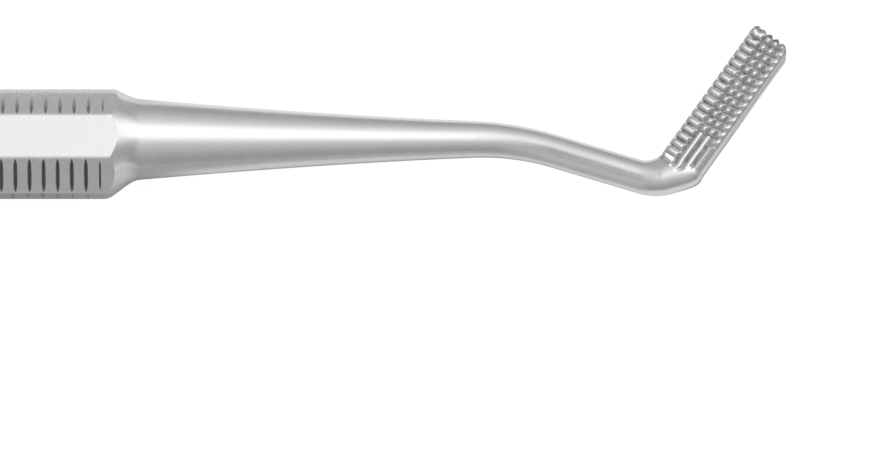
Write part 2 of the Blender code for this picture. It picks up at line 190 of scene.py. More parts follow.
# %% The loft
def loft(name, rings, start_cap=True, mirrored=False):
    """Skins rings of points into a mesh object. It stays in millimetres until all is joined."""
    points = np.array(rings)
    if mirrored:
        points = points * np.array([-1.0, 1.0, 1.0])
    count = points.shape[1]
    index = np.arange(len(points) * count).reshape(len(points), count)
    a, b = index[:-1], index[1:]
    faces = np.stack([a, np.roll(a, -1, 1), np.roll(b, -1, 1), b], axis=-1).reshape(-1, 4).tolist()
    if start_cap:
        faces.append(index[0][::-1].tolist())
    faces.append(index[-1].tolist())
    mesh = bpy.data.meshes.new(name)
    mesh.from_pydata(points.reshape(-1, 3).tolist(), [], faces)
    outwards = np.array(mesh.polygons[0].center) - points[0].mean(axis=0)
    if np.dot(mesh.polygons[0].normal, outwards) < 0:
        mesh.flip_normals()
    mesh.materials.append(steel)
    made = bpy.data.objects.new(name, mesh)
    bpy.context.scene.collection.objects.link(made)
    return made


print("loft ready, in", steel.name)

# %% [markdown]
# The shanks
#
# Both ends leave the eight-sided handle through a cone and thin down towards the
# working end. The turned part doesn't run quite true with the bar, so its axis
# stands a little to one side, and that is why the top flat runs out on the cone
# in a rounded end. Spin could turn a true cone, but rings can also drift off the
# axis while they get thinner.


# %% Sections of the turned shanks
SCALER_CONE_RINGS, PUSHER_CONE_RINGS = 44, 40
TAPER_RINGS, BEND_RINGS, STRAIGHT_RINGS, TURN_RINGS = 28, 13, 6, 5
NECK_RINGS, ROOT_RINGS, BLADE_RINGS = 9, 25, 50


def shank_section(size, distance):
    """Radius, side offset and height of the turned blank at a distance beyond the handle's end."""
    left = max(0.0, (size["taper_end"] - distance) / (size["taper_end"] - size["taper_start"]))
    taper = (size["tip"] + (size["root"] - size["tip"]) * left ** size["power"]) / 2
    from_cone = distance - size["cone_start"]
    moved = smooth_step(from_cone / size["cone_length"])
    lifted = smooth_step(from_cone / size["lift_length"])
    radius = taper + (BLANK_RADIUS - taper) * (1 - moved)
    risen = smooth_step((distance - size["rise_start"]) / RISE_LENGTH)
    offset_y = size["offset_y"] * moved - size["sideways"] * risen
    return radius, offset_y, AXIS_HEIGHT + size["offset_z"] * lifted + size["rise"] * risen


def shank_ring(path, size, distance, outline=None, radius=None):
    turned_radius, offset_y, height = shank_section(size, distance)
    radius = turned_radius if radius is None else radius
    outline = round_outline() if outline is None else outline
    x, y, heading = path.at(distance)
    return place_ring(outline, (x, y + offset_y, height), heading, radius, radius)


def handle_blank_rings():
    """The handle's blank, from a little out on one shank to a little out on the other."""
    straight = Path()
    straight.add(SCALER["join"])
    places = np.linspace(SCALER["join"], SCALER["cone_start"], SCALER_CONE_RINGS)
    scaler_side = [shank_ring(straight, SCALER, d) * np.array([-1.0, 1.0, 1.0]) for d in places]
    places = np.linspace(PUSHER["cone_start"], PUSHER["join"], PUSHER_CONE_RINGS)
    return scaler_side + [shank_ring(straight, PUSHER, d) for d in places]


handle_blank = loft("handle_blank", handle_blank_rings())
print("handle blank:", len(handle_blank.data.polygons), "faces")

# %% [markdown]
# The pusher head
#
# The shank bends away, then turns sharply up into a flat bar with a crowned
# section. The rings through the bend are only given at a few places, and a
# smooth curve through them fills in the rest, as a forging flows. A box with
# rounded edges would be simpler, but it would meet the shank in a seam.

# %% Sizes of the pusher's bends and head
FIRST_BEND_START = 21.9
FIRST_BEND_RADIUS = 17.3
FIRST_BEND_ANGLE = math.radians(16.5)
BETWEEN_BENDS = 5.2
HEAD_BEND_RADIUS = 2.57
HEAD_BEND_ANGLE = math.radians(71.0)
HEAD_ANGLE_AT_BASE = math.radians(51.0)
HEAD_BEND_USED = 0.5
HEAD_BASE_PLACE = 0.76
HEAD_SET_OUT = 0.16
HEAD_LENGTH = 9.88
HEAD_WIDTH = 2.77
HEAD_THICKNESS = 2.00
HEAD_BASE_WIDTH = 2.72
HEAD_BEND_WIDTH = 2.30
OUTER_CROWN_POWER = 2.6
INNER_CROWN_POWER = 12.0
HEAD_EDGE_HEIGHT = 0.36
RIDGES = 5
RIDGE_PITCH = 0.51
RIDGE_OFFSET = 0.17
SMOOTH_BAND = 0.27
TOOTH_ROWS = 17
TOOTH_PITCH = 0.545
FIRST_TOOTH = 0.75
ROWS_PER_TOOTH = 8
FOOT_ROWS = 10
FOOT_LENGTH = 0.83
TIP_ROUND = 0.12
TIP_CORNER_LENGTH = 0.78
TIP_CORNER_WIDTH = 0.57
TIP_CORNER_POWER = 1.7
TIP_INNER_LENGTH, TIP_INNER_WIDTH = 0.25, 0.22
TIP_SCALLOP = 0.09
TIP_BLEND = 2.0
TOOTH_LEAN, TOOTH_LEAN_GAIN = -0.125, 0.053
LEAN_ENDS = 0.4
BEND_CROWN_SHARE = 0.4
print("head", HEAD_LENGTH, "mm long with", TOOTH_ROWS, "rows of teeth on", RIDGES, "ridges")


# %% The pusher's centreline and the head's outline
def pusher_path():
    path = Path()
    path.add(FIRST_BEND_START)
    path.add(FIRST_BEND_RADIUS * FIRST_BEND_ANGLE, -FIRST_BEND_ANGLE)
    path.add(BETWEEN_BENDS)
    path.add(HEAD_BEND_RADIUS * HEAD_BEND_ANGLE, HEAD_BEND_ANGLE)
    return path


def head_sides():
    """Places across the head that hit the plain band's edge and every ridge and groove."""
    half, middle, count = HEAD_WIDTH / 2, (RIDGES - 1) / 2, 2 * RIDGES - 1
    lines = [(RIDGE_OFFSET + (step / 2 - middle) * RIDGE_PITCH) / half for step in range(count)]
    lines = [-1.0, -1.0 + SMOOTH_BAND / half] + lines + [1.0]
    return between_lines(lines, [5, 6] + [6] * (count - 1) + [4])


def head_outline():
    sides = head_sides()
    power = np.where(sides > 0, INNER_CROWN_POWER, OUTER_CROWN_POWER)
    crown = np.clip(1 - np.abs(sides) ** power, 0, 1) ** (1 / power)
    return both_halves(sides, np.maximum(crown, HEAD_EDGE_HEIGHT))


def through(rings, steps):
    """A smooth curve through each point's places in the given rings."""
    rings = np.array(rings)
    padded = np.concatenate([[2 * rings[0] - rings[1]], rings, [2 * rings[-1] - rings[-2]]])
    filled = []
    for before, start, end, after in zip(padded, padded[1:], padded[2:], padded[3:]):
        for t in np.arange(steps) / steps:
            bent = (2 * before - 5 * start + 4 * end - after) * t**2
            twisted = (3 * start - before - 3 * end + after) * t**3
            filled.append(0.5 * (2 * start + (end - before) * t + bent + twisted))
    return filled + [rings[-1]]


print("head outline of", len(head_outline()), "points")


# %% Where the head starts, and where its rings lie
def head_base(path):
    x, y, _ = path.at(path.length - HEAD_BEND_RADIUS * HEAD_BEND_ANGLE * (1 - HEAD_BASE_PLACE))
    heading = HEAD_BEND_ANGLE - FIRST_BEND_ANGLE
    return np.array(
        [
            x + HEAD_SET_OUT * math.sin(heading),
            y - HEAD_SET_OUT * math.cos(heading) + PUSHER["offset_y"] - PUSHER["sideways"],
            AXIS_HEIGHT + PUSHER["offset_z"] + PUSHER["rise"],
        ]
    )


def head_stations():
    """Even rows over the teeth, then a quarter round at the tip as (distance, shrink) pairs."""
    step = TOOTH_PITCH / ROWS_PER_TOOTH
    first = FIRST_TOOTH - TOOTH_PITCH / 2
    rows = int((HEAD_LENGTH - TIP_ROUND - first) / step)
    plain = [(first + step * row, 0.0) for row in range(rows + 1)]
    turns = np.linspace(0, math.pi / 2, 4)
    tip = [(HEAD_LENGTH - TIP_ROUND * (1 - math.sin(a)), TIP_ROUND * (1 - math.cos(a))) for a in turns]
    return plain + tip


print("head from", head_base(pusher_path()).round(2), "with", len(head_stations()), "rings")


# %% Rings of the head
def tip_reach(across):
    """How much shorter the head is at each place across: two rounded corners and scallops."""
    outer = np.clip((-across - (HEAD_WIDTH / 2 - TIP_CORNER_WIDTH)) / TIP_CORNER_WIDTH, 0, 1)
    inner = np.clip((across - (HEAD_WIDTH / 2 - TIP_INNER_WIDTH)) / TIP_INNER_WIDTH, 0, 1)
    wave = 0.5 - 0.5 * np.cos(2 * math.pi * (across - RIDGE_OFFSET) / RIDGE_PITCH)
    on_ridges = np.abs(across - RIDGE_OFFSET) < 2 * RIDGE_PITCH
    corners = TIP_CORNER_LENGTH * outer**TIP_CORNER_POWER + TIP_INNER_LENGTH * inner**2
    return corners + TIP_SCALLOP * wave * on_ridges


def tooth_slant(across):
    """The rows of teeth lean, more so towards the outer side."""
    return TOOTH_LEAN * across + TOOTH_LEAN_GAIN * across**2


def head_rings(path):
    outline, base = head_outline(), head_base(path)
    heading = HEAD_BEND_ANGLE - FIRST_BEND_ANGLE
    along = np.array([math.cos(heading), math.sin(heading), 0.0])
    half_width, half_height = HEAD_WIDTH / 2, HEAD_THICKNESS / 2
    rings, places = [], []
    for distance, shrink in head_stations():
        ring = place_ring(outline, base, heading, half_width - shrink, half_height - shrink)
        across = outline[:, 0] * half_width
        fade = smooth_step((HEAD_LENGTH - distance) / LEAN_ENDS)
        reached = distance + tooth_slant(across) * fade
        near_tip = np.clip((reached - (HEAD_LENGTH - TIP_BLEND)) / TIP_BLEND, 0, 1)
        reached = reached - tip_reach(across) * near_tip
        rings.append(ring + np.outer(reached, along))
        places.append(np.column_stack([np.full(len(across), distance), across]))
    return rings, places


print("head tip at", head_rings(pusher_path())[0][-1].mean(axis=0).round(2))


# %% The whole pusher end
def head_bend_rings(path):
    start_outline, end_outline = round_outline(), head_outline()
    bend_length = HEAD_BEND_RADIUS * HEAD_BEND_ANGLE
    rings = []
    for share in np.linspace(0, 1, TURN_RINGS):
        distance = path.length - bend_length + bend_length * HEAD_BEND_USED * share
        x, y, heading = path.at(distance)
        _, offset_y, height = shank_section(PUSHER, distance)
        outline = start_outline + (end_outline - start_outline) * BEND_CROWN_SHARE * share
        half_width = (PUSHER["tip"] + (HEAD_BEND_WIDTH - PUSHER["tip"]) * share) / 2
        half_height = (PUSHER["tip"] + (HEAD_THICKNESS - PUSHER["tip"]) * share) / 2
        centre = (x, y + offset_y, height)
        rings.append(place_ring(outline, centre, heading, half_width, half_height))
    half_width, half_height = HEAD_BASE_WIDTH / 2, HEAD_THICKNESS / 2
    foot = place_ring(end_outline, head_base(path), HEAD_ANGLE_AT_BASE, half_width, half_height)
    return rings + [foot]


def pusher_end():
    path = pusher_path()
    bend_end = FIRST_BEND_START + FIRST_BEND_RADIUS * FIRST_BEND_ANGLE
    taper = np.linspace(PUSHER["join"], FIRST_BEND_START, TAPER_RINGS)
    bend = np.linspace(FIRST_BEND_START, bend_end, BEND_RINGS)[1:]
    straight = np.linspace(bend_end, bend_end + BETWEEN_BENDS, STRAIGHT_RINGS)[1:-1]
    shank = [shank_ring(path, PUSHER, d) for d in np.concatenate([taper, bend, straight])]
    head, places = head_rings(path)
    plain = shank + through(head_bend_rings(path) + [head[0]], FOOT_ROWS)[:-1]
    made = loft("pusher_end", plain + head, start_cap=False)
    off_head = [np.full((2 * COLUMNS, 2), -FOOT_LENGTH) for _ in plain[2 * FOOT_ROWS :]]
    foot = [
        np.column_stack([np.full(2 * COLUMNS, distance), places[0][:, 1]])
        for distance in np.linspace(-FOOT_LENGTH, places[0][0, 0], 2 * FOOT_ROWS + 1)[:-1]
    ]
    values = np.concatenate(off_head + foot + places)
    for name, column in (("along_head", 0), ("across_head", 1)):
        attribute = made.data.attributes.new(name, "FLOAT", "POINT")
        attribute.data.foreach_set("value", values[:, column])
    return made


pusher = pusher_end()
print("pusher end:", len(pusher.data.polygons), "faces")

# %% [markdown]
# The sickle scaler
#
# The thin neck flares into a flat sickle. Its round form runs out on the flat
# side in a short dart, and a bevel along the hollow edge makes the cutting edge.
# The same kind of rings makes all of it: each takes the higher one of neck and
# blade at every place, so the dart comes by itself where the two cross.

# %% Sizes of the scaler end
NECK_DIAMETER = 1.45
NECK_START = 31.3
NECK_PLACE = 33.35
HEEL_RADIUS, HEEL_ANGLE = 15.2, math.radians(13.0)
BLADE_RADIUS, BLADE_ANGLE = 3.6, math.radians(63.0)
TOE_RADIUS, TOE_ANGLE = 8.6, math.radians(22.0)
# Distance from the point, width
BLADE_WIDTHS = np.array([(0.0, 0.0), (2.5, 0.83), (4.6, 1.35), (6.0, 1.56), (7.4, 1.63), (9.9, 1.96)])
BLADE_THICKNESS = 0.84
THICKNESS_TAPER_POWER = 1.8
FLARE_LENGTH = 0.68
ROUND_RUNS_OUT = 1.45
BLADE_BEVEL = 0.27
BEVEL_START, BEVEL_FULL = 0.20, 0.50
PLATE_EDGE_HEIGHT = 0.85
BLADE_EDGE_HEIGHT = 0.18
BLADE_BACK_HEIGHT = 0.50
BACK_START, BACK_MIDDLE, BACK_MIDDLE_HEIGHT = 0.8, 0.92, 0.8
SHORT_OF_POINT = 0.02
print("blade", BLADE_THICKNESS, "mm thick, up to", BLADE_WIDTHS[:, 1].max(), "mm wide")


# %% Rings of the scaler end
def scaler_path():
    path = Path()
    path.add(NECK_PLACE)
    path.add(HEEL_RADIUS * HEEL_ANGLE, -HEEL_ANGLE)
    path.add(BLADE_RADIUS * BLADE_ANGLE, -BLADE_ANGLE)
    path.add(TOE_RADIUS * TOE_ANGLE, -TOE_ANGLE)
    return path


def blade_ring(path, gone):
    blade_length = path.length - NECK_PLACE
    bevel_top = -1 + 2 * BLADE_BEVEL
    lines = [-1.0, bevel_top, BACK_START, BACK_MIDDLE, 1.0]
    blade_sides = between_lines(lines, [10, 40, 7, 6])
    round_sides = round_outline()[:COLUMNS, 0]
    flare = smooth_step(gone / FLARE_LENGTH)
    width = np.interp(blade_length - gone, *BLADE_WIDTHS.T)
    half_width = (NECK_DIAMETER + (width - NECK_DIAMETER) * flare) / 2
    half_thickness = BLADE_THICKNESS / 2 * (1 - (gone / blade_length) ** THICKNESS_TAPER_POWER)
    bevelled = smooth_step((gone / blade_length - BEVEL_START) / (BEVEL_FULL - BEVEL_START))
    edge_height = PLATE_EDGE_HEIGHT + (BLADE_EDGE_HEIGHT - PLATE_EDGE_HEIGHT) * bevelled
    line_heights = [edge_height, 1.0, 1.0, BACK_MIDDLE_HEIGHT, BLADE_BACK_HEIGHT]
    profile = np.interp(blade_sides, lines, line_heights)
    sides = (round_sides + (blade_sides - round_sides) * flare) * half_width
    sunk = min(gone / ROUND_RUNS_OUT, 1.0)
    round_radius = (NECK_DIAMETER + (BLADE_THICKNESS - NECK_DIAMETER) * sunk) / 2
    bump = np.sqrt(np.maximum(round_radius**2 - sides**2, 0)) * (sunk < 1)
    heights = np.maximum(profile * half_thickness, bump)
    return shank_ring(path, SCALER, NECK_PLACE + gone, both_halves(sides, heights), 1.0)


def scaler_end():
    path = scaler_path()
    rings = [shank_ring(path, SCALER, d) for d in np.linspace(SCALER["join"], NECK_START, TAPER_RINGS)]
    for distance in np.linspace(NECK_START, NECK_PLACE, NECK_RINGS)[1:]:
        radius, _, _ = shank_section(SCALER, distance)
        share = smooth_step((distance - NECK_START) / (NECK_PLACE - NECK_START))
        radius = radius + (NECK_DIAMETER / 2 - radius) * share
        rings.append(shank_ring(path, SCALER, distance, None, radius))
    root = np.linspace(0, ROUND_RUNS_OUT, ROOT_RINGS)[1:]
    point = path.length - NECK_PLACE - SHORT_OF_POINT
    rest = np.linspace(ROUND_RUNS_OUT, point, BLADE_RINGS)[1:]
    rings += [blade_ring(path, gone) for gone in np.concatenate([root, rest])]
    return loft("scaler_end", rings, start_cap=False, mirrored=True)


scaler = scaler_end()
print("scaler end:", len(scaler.data.polygons), "faces")

# %% [markdown]
# Node trees written as sums
#
# Geometry Nodes and shaders both work out numbers with Math nodes. Wrapping a
# socket in a small class lets those be written as ordinary sums, and one method
# adds any other node.


# %% A socket that can be calculated with
class Wire:
    """One socket of a node tree. Sums and products of wires add Math nodes."""

    def __init__(self, tree, socket=None):
        self.tree, self.socket = tree, socket

    def node(self, kind, settings=None, inputs=None, output=0):
        """Adds a node: its settings, or a ramp's stops, then values or links for its sockets."""
        made = self.tree.nodes.new(kind)
        for name, value in (settings or {}).items():
            if name == "stops":
                while len(made.color_ramp.elements) < len(value):
                    made.color_ramp.elements.new(1.0)
                for element, (place, level) in zip(made.color_ramp.elements, value):
                    element.position = place
                    element.color = (level, level, level, 1.0)
            else:
                setattr(made, name, value)
        for name, value in (inputs or {}).items():
            for part in value if isinstance(value, list) else [value]:
                if isinstance(part, Wire):
                    self.tree.links.new(part.socket, made.inputs[name])
                else:
                    made.inputs[name].default_value = part
        return Wire(self.tree, made.outputs[output]) if len(made.outputs) else Wire(self.tree)

    def out(self, name):
        return Wire(self.tree, self.socket.node.outputs[name])

    def math(self, operation, *values, clamp=False):
        settings = {"operation": operation, "use_clamp": clamp}
        return self.node("ShaderNodeMath", settings, dict(enumerate(values)))

    def __add__(self, other):
        return self.math("ADD", self, other)

    def __radd__(self, other):
        return self.math("ADD", other, self)

    def __sub__(self, other):
        return self.math("SUBTRACT", self, other)

    def __rsub__(self, other):
        return self.math("SUBTRACT", other, self)

    def __mul__(self, other):
        return self.math("MULTIPLY", self, other)

    def __rmul__(self, other):
        return self.math("MULTIPLY", other, self)

    def __truediv__(self, other):
        return self.math("DIVIDE", self, other)

    def __rtruediv__(self, other):
        return self.math("DIVIDE", other, self)

    def __gt__(self, other):
        return self.math("GREATER_THAN", self, other)

    def __lt__(self, other):
        return self.math("LESS_THAN", self, other)

    def clamped(self):
        return self.math("ADD", self, 0.0, clamp=True)

    def absolute(self):
        return self.math("ABSOLUTE", self)

    def fade(self, start, end):
        """0 at start and 1 at end, eased at both."""
        limits = {"Value": self, "From Min": start, "From Max": end}
        return self.node("ShaderNodeMapRange", {"interpolation_type": "SMOOTHSTEP"}, limits)

    def less(self, start, end, share):
        """1 at start, and less by the share at end."""
        return 1 - self.fade(start, end) * share


print("a wire can", [name for name in vars(Wire) if not name.startswith("_")])


# %% A Geometry Nodes tree
class Tree:
    """A Geometry Nodes tree with named inputs, run on one object."""

    def __init__(self, name, **sizes):
        self.group = bpy.data.node_groups.new(name, "GeometryNodeTree")
        self.sizes = sizes
        face = self.group.interface
        face.new_socket("Geometry", in_out="OUTPUT", socket_type="NodeSocketGeometry")
        face.new_socket("Geometry", in_out="INPUT", socket_type="NodeSocketGeometry")
        for label in sizes:
            face.new_socket(label, in_out="INPUT", socket_type="NodeSocketFloat")
        self.start = Wire(self.group).node("NodeGroupInput")

    def __getitem__(self, label):
        return self.start.out(label)

    def node(self, *details, **more):
        return self.start.node(*details, **more)

    def finish(self, geometry, paint):
        """Ends in Realize Instances and one Set Material for each (material, selection) pair."""
        geometry = self.node("GeometryNodeRealizeInstances", None, {"Geometry": geometry})
        for material, selection in paint:
            inputs = {"Geometry": geometry, "Material": material}
            if selection is not None:
                inputs["Selection"] = selection
            geometry = self.node("GeometryNodeSetMaterial", None, inputs)
        self.node("NodeGroupOutput", None, {"Geometry": geometry})

    def run_on(self, piece):
        """Runs the tree on the piece and leaves a plain mesh in its place."""
        modifier = piece.modifiers.new(self.group.name, "NODES")
        modifier.node_group = self.group
        for item in self.group.interface.items_tree:
            if item.in_out == "INPUT" and item.name in self.sizes:
                modifier[item.identifier] = float(self.sizes[item.name])
        seen = piece.evaluated_get(bpy.context.evaluated_depsgraph_get())
        mesh = bpy.data.meshes.new_from_object(seen)
        piece.modifiers.remove(modifier)
        piece.data = mesh
        return piece


print("a tree can", [name for name in vars(Tree) if not name.startswith("_")])

# %% [markdown]
# Serrations by a rule
#
# The head is filed with vees along it and across it, and the little pyramids are
# what is left between them. That is a rule, not a shape: each point sinks by the
# deeper of the two vees at its place. The rows of the loft already follow the
# crests, so the edges come out crisp. A slow noise leaves some of the teeth a
# little lower, as wear does.

# %% Sizes of the serrations
RIDGE_DEPTH = 0.15
TOOTH_DEPTH = 0.16
LAND = 0.30
UNCUT_LENGTH = 2.62
INNER_ROWS_FROM = 0.8 * RIDGE_PITCH
GROOVE_RUN_IN = 0.45
OUTER_GROOVES, OUTER_GROOVES_LATER = -0.5, 0.65
BAND_FADE = 0.30
EDGE_FADE = (0.02, 0.14)
WEAR, WEAR_SCALE = 0.9, 1.6
CUT_AFTER = -0.99 * FOOT_LENGTH
print("vees", RIDGE_DEPTH, "mm deep along the head and", TOOTH_DEPTH, "mm deep across it")

# %% The serration tree and the form of a vee
serrations = Tree(
    "head_serrations",
    **{
        "Ridge Pitch": RIDGE_PITCH, "Ridge Offset": RIDGE_OFFSET, "Ridge Depth": RIDGE_DEPTH,
        "Tooth Pitch": TOOTH_PITCH, "First Tooth": FIRST_TOOTH, "Tooth Depth": TOOTH_DEPTH,
        "Land": LAND, "Uncut Length": UNCUT_LENGTH, "Half Width": HEAD_WIDTH / 2,
        "Smooth Band": SMOOTH_BAND, "Wear": WEAR, "Wear Scale": WEAR_SCALE,
    },
)
along, across = (
    serrations.node("GeometryNodeInputNamedAttribute", {"data_type": "FLOAT"}, {"Name": name})
    for name in ("along_head", "across_head")
)


def vee(tree, place, pitch):
    """0 on a crest with its narrow land, 1 at the bottom of the vee between two crests."""
    wave = place.math("PINGPONG", place, pitch * 0.5) / (pitch * 0.5)
    return ((wave - tree["Land"]) / (1 - tree["Land"])).clamped()


print("serrations:", len(serrations.sizes), "named inputs")

# %% Where the vees run
from_middle = across - serrations["Ridge Offset"]
on_ridges = from_middle.absolute() < serrations["Ridge Pitch"] * 2
not_inside = 1 - (from_middle > serrations["Ridge Pitch"])
grooves = vee(serrations, from_middle, serrations["Ridge Pitch"]) * on_ridges * not_inside
late_outside = across.fade(0.0, OUTER_GROOVES) * OUTER_GROOVES_LATER
grooves = grooves * (along - late_outside).fade(-GROOVE_RUN_IN, 0.0)
inner_rows = across > INNER_ROWS_FROM
cut_from = serrations["Uncut Length"] - inner_rows * (UNCUT_LENGTH - FIRST_TOOTH + TOOTH_PITCH / 2)
cut_from = cut_from - (across < -RIDGE_PITCH) * TOOTH_PITCH
inside_band = (across + serrations["Half Width"]).fade(SMOOTH_BAND, SMOOTH_BAND + BAND_FADE)
inside_edge = (serrations["Half Width"] - across).fade(*EDGE_FADE)
teeth = vee(serrations, along - serrations["First Tooth"], serrations["Tooth Pitch"])
teeth = teeth * (along > cut_from) * inside_band * inside_edge
groove_depth = grooves * serrations["Ridge Depth"]
tooth_depth = teeth * serrations["Tooth Depth"]
depth = groove_depth.math("MAXIMUM", groove_depth, tooth_depth) * (along > CUT_AFTER)
print("depth of the vees:", len(serrations.group.nodes), "nodes")

# %% Wear, and the points sink
uneven = serrations.node("ShaderNodeTexNoise", None, {"Scale": serrations["Wear Scale"], "Detail": 1.0})
depth = depth * (1 + (uneven - 0.5) * serrations["Wear"])
sink = serrations.node(
    "ShaderNodeVectorMath",
    {"operation": "SCALE"},
    {"Vector": serrations.node("GeometryNodeInputNormal"), "Scale": depth * -1},
)
# The depth is also kept as cut_depth, which the steel turns into painted shade in the vees
noted = serrations.node(
    "GeometryNodeStoreNamedAttribute",
    {"data_type": "FLOAT", "domain": "POINT"},
    {"Geometry": serrations["Geometry"], "Name": "cut_depth", "Value": depth / TOOTH_DEPTH},
)
sunk = serrations.node("GeometryNodeSetPosition", None, {"Geometry": noted, "Offset": sink})
serrations.finish(sunk, [(steel, None)])
serrations.run_on(pusher)
print("serrated head:", len(pusher.data.polygons), "faces")
print("noted on it:", [attribute.name for attribute in pusher.data.attributes][-3:])

# %% [markdown]
# Flats and grip cuts
#
# Eight flats are milled on the blank, and a vee-edged wheel then presses a row
# of short cuts into six of them. A wheel leaves a lens: deepest in the middle of
# the flat, and gone before the corner. One lens is made once and set out along
# each flat on a line of points. Booleans then do the milling, so every edge lies
# where two surfaces really meet. One corner of the bar is worn rounder than the
# others, and catches the light.

# %% Sizes of the cuts and of the bar
CUT_DEPTH = 0.19
CUT_WIDTH = 0.245
CUT_HALF_LENGTH = 1.27
CUT_RISE = 0.12
CUTS_PAST_SCALER_SHOULDER = 2.0
FIRST_CUT_LIFT = 0.09
LENS_REACH, LENS_POWER, LENS_LEAST, LENS_STEPS = 1.12, 5.0, 0.05, 13
KITE_BELOW = 0.05
BAR_BEYOND = 12
WORN_CORNER = 4
FILLET_POINTS = 8
# Flat, counted from the top towards +Y: pitch, first cut from the pusher shoulder, painted shade in its
# cuts
GRIP_CUTS = {
    1: (0.8542, 0.23, 0.68), 2: (0.9003, 0.95, 0.70), 3: (0.8542, 0.75, 0.80),
    5: (0.8500, 0.62, 0.80), 6: (0.9003, 1.15, 0.22), 7: (0.8437, 0.39, 0.94),
}

sizes = {
    "Across Flats": ACROSS_FLATS, "Corner Round": CORNER_ROUND, "Worn Corner Round": WORN_CORNER_ROUND,
    "Cut Depth": CUT_DEPTH, "Cut Width": CUT_WIDTH, "Cut Half Length": CUT_HALF_LENGTH,
}
for flat, values in GRIP_CUTS.items():
    sizes.update(zip((f"Pitch {flat}", f"First {flat}", f"Darkness {flat}"), values))
milling = Tree("milled_handle", **sizes)
print("cuts on flats", list(GRIP_CUTS))


# %% The bar
def xyz(tree, x=0.0, y=0.0, z=0.0):
    return tree.node("ShaderNodeCombineXYZ", None, {"X": x, "Y": y, "Z": z})


def moved(tree, geometry, **how):
    return tree.node("GeometryNodeTransform", None, {"Geometry": geometry, **how})


def eight_sided_bar(tree):
    """The milled bar: an octagon with rounded corners, swept along the handle."""
    corner_radius = tree["Across Flats"] * (0.5 / math.cos(math.pi / 8))
    circle = {"Resolution": 8, "Radius": corner_radius}
    octagon = tree.node("GeometryNodeCurvePrimitiveCircle", None, circle)
    octagon = moved(tree, octagon, Rotation=(0, 0, math.pi / 8))
    index = tree.node("GeometryNodeInputIndex")
    is_worn = (index > WORN_CORNER - 0.5) * (index < WORN_CORNER + 0.5)
    radius = tree["Corner Round"] + is_worn * (tree["Worn Corner Round"] - tree["Corner Round"])
    fillet = {"Curve": octagon, "Count": FILLET_POINTS, "Radius": radius}
    octagon = tree.node("GeometryNodeFilletCurve", {"mode": "POLY"}, fillet)
    reach = HALF_HANDLE + BAR_BEYOND
    ends = {"Start": (-reach, 0, 0), "End": (reach, 0, 0)}
    line = tree.node("GeometryNodeCurvePrimitiveLine", None, ends)
    steps = {"Curve": line, "Count": int(2 * reach) + 1}
    line = tree.node("GeometryNodeResampleCurve", None, steps)
    swept = {"Curve": line, "Profile Curve": octagon, "Fill Caps": True}
    mesh = tree.node("GeometryNodeCurveToMesh", None, swept)
    return moved(tree, mesh, Translation=(0, 0, AXIS_HEIGHT))


bar = eight_sided_bar(milling)
print("bar:", len(milling.group.nodes), "nodes")


# %% One cutter
def lens(tree):
    """One cut's cutter, across the top flat: a kite section that shrinks towards both ends."""
    whole = tree["Cut Depth"] + CUT_RISE
    reach = tree["Cut Half Length"] * LENS_REACH
    ends = {"Start": xyz(tree, y=reach * -1), "End": xyz(tree, y=reach)}
    line = tree.node("GeometryNodeCurvePrimitiveLine", None, ends)
    line = tree.node("GeometryNodeResampleCurve", None, {"Curve": line, "Count": LENS_STEPS})
    place = tree.node("GeometryNodeSplineParameter") * 2 - 1
    reached = place.absolute() * LENS_REACH
    radius = 1 - reached.math("POWER", reached, LENS_POWER) * (1 - CUT_RISE / whole)
    size = radius.math("MAXIMUM", radius, LENS_LEAST)
    width = tree["Cut Width"] * whole / tree["Cut Depth"]
    kite = {"Width": width, "Bottom Height": KITE_BELOW, "Top Height": whole}
    kite = tree.node("GeometryNodeCurvePrimitiveQuadrilateral", {"mode": "KITE"}, kite)
    swept = {"Curve": line, "Profile Curve": kite, "Scale": size, "Fill Caps": True}
    mesh = tree.node("GeometryNodeCurveToMesh", None, swept)
    return moved(tree, mesh, Translation=xyz(tree, z=tree["Across Flats"] * 0.5 + CUT_RISE))


one_lens = lens(milling)
print("bar and cutter:", len(milling.group.nodes), "nodes")


# %% Rows of cuts
def row_of_cuts(tree, cutter, flat):
    pitch, first = tree[f"Pitch {flat}"], tree[f"First {flat}"]
    room = HANDLE_LENGTH + CUTS_PAST_SCALER_SHOULDER - first
    count = room.math("FLOOR", room / pitch) + 1
    start, step = xyz(tree, x=HALF_HANDLE - first), xyz(tree, x=pitch * -1)
    line = {"Count": count, "Start Location": start, "Offset": step}
    points = tree.node("GeometryNodeMeshLine", None, line)
    angle = flat * math.pi / 4
    outwards = (0.0, math.sin(angle) * FIRST_CUT_LIFT, math.cos(angle) * FIRST_CUT_LIFT)
    is_first = tree.node("GeometryNodeInputIndex") < 0.5
    lifted = {"Geometry": points, "Selection": is_first, "Offset": outwards}
    points = tree.node("GeometryNodeSetPosition", None, lifted)
    placed = {"Points": points, "Instance": cutter, "Rotation": (-angle, 0, 0)}
    row = tree.node("GeometryNodeInstanceOnPoints", None, placed)
    row = tree.node("GeometryNodeRealizeInstances", None, {"Geometry": row})
    # Each cut keeps its flat's amount of painted shade, which also marks it as a cut
    return tree.node(
        "GeometryNodeStoreNamedAttribute",
        {"data_type": "FLOAT", "domain": "FACE"},
        {"Geometry": row, "Name": "grip_cut", "Value": tree[f"Darkness {flat}"]},
    )


rows = [row_of_cuts(milling, one_lens, flat) for flat in GRIP_CUTS]
wheel_cuts = milling.node("GeometryNodeJoinGeometry", None, {"Geometry": rows})
wheel_cuts = moved(milling, wheel_cuts, Translation=(0, 0, AXIS_HEIGHT))
print("rows of cuts:", len(rows))

